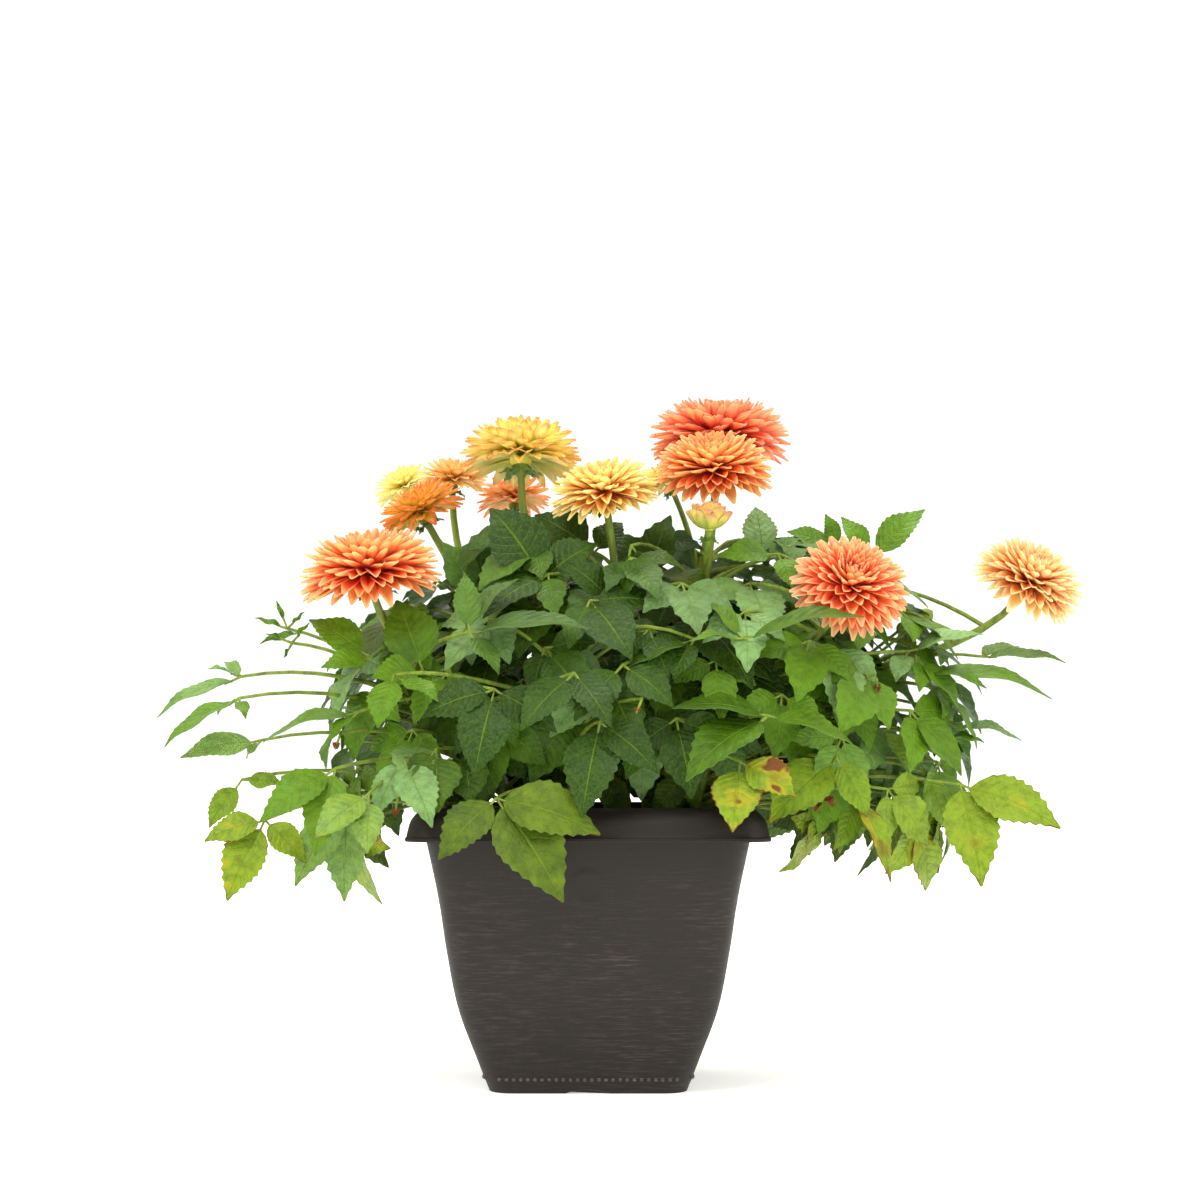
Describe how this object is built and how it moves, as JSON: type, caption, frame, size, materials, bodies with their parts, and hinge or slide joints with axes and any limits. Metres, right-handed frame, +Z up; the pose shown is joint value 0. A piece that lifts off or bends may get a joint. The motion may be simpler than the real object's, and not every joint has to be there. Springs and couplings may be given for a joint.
{
  "type": "potted dahlia",
  "caption": "Dahlia plant with leafy stems and coral, peach and yellow flower heads, growing in a square tapered planter with a turned-down rim.",
  "frame": {"origin": "middle of the planter's underside, on the surface it stands on", "axes": "+Z up, -Y towards the front of the plant as pictured, +X to the right seen from the front"},
  "size_m": [0.8182, 0.516, 0.6191],
  "materials": {
    "planter": "satin",
    "soil": "matte",
    "foliage": "satin",
    "petals_coral": "matte",
    "petals_orange": "matte",
    "petals_gold": "matte",
    "petals_pale": "matte"
  },
  "bodies": {
    "root": {"pot": "planter", "soil": "soil", "leafy_stem_01": "foliage", "leafy_stem_02": "foliage", "leafy_stem_03": "foliage", "leafy_stem_04": "foliage", "leafy_stem_05": "foliage", "leafy_stem_06": "foliage", "leafy_stem_07": "foliage", "leafy_stem_08": "foliage", "leafy_stem_09": "foliage", "leafy_stem_10": "foliage", "leafy_stem_11": "foliage", "leafy_stem_12": "foliage", "leafy_stem_13": "foliage", "leafy_stem_14": "foliage", "bloom_left_coral": "petals_coral", "bloom_left_gold": "petals_gold", "bloom_back_orange": "petals_orange", "bloom_back_pale": "petals_pale", "bloom_top_yellow": "petals_gold", "bloom_back_small": "petals_orange", "bloom_middle": "petals_gold", "bloom_front_peach": "petals_orange", "bud_half_open": "petals_pale", "bloom_top_red": "petals_coral", "bloom_back_gold": "petals_gold", "bloom_right_coral": "petals_coral", "bloom_far_peach": "petals_orange"}
  },
  "joints": []
}
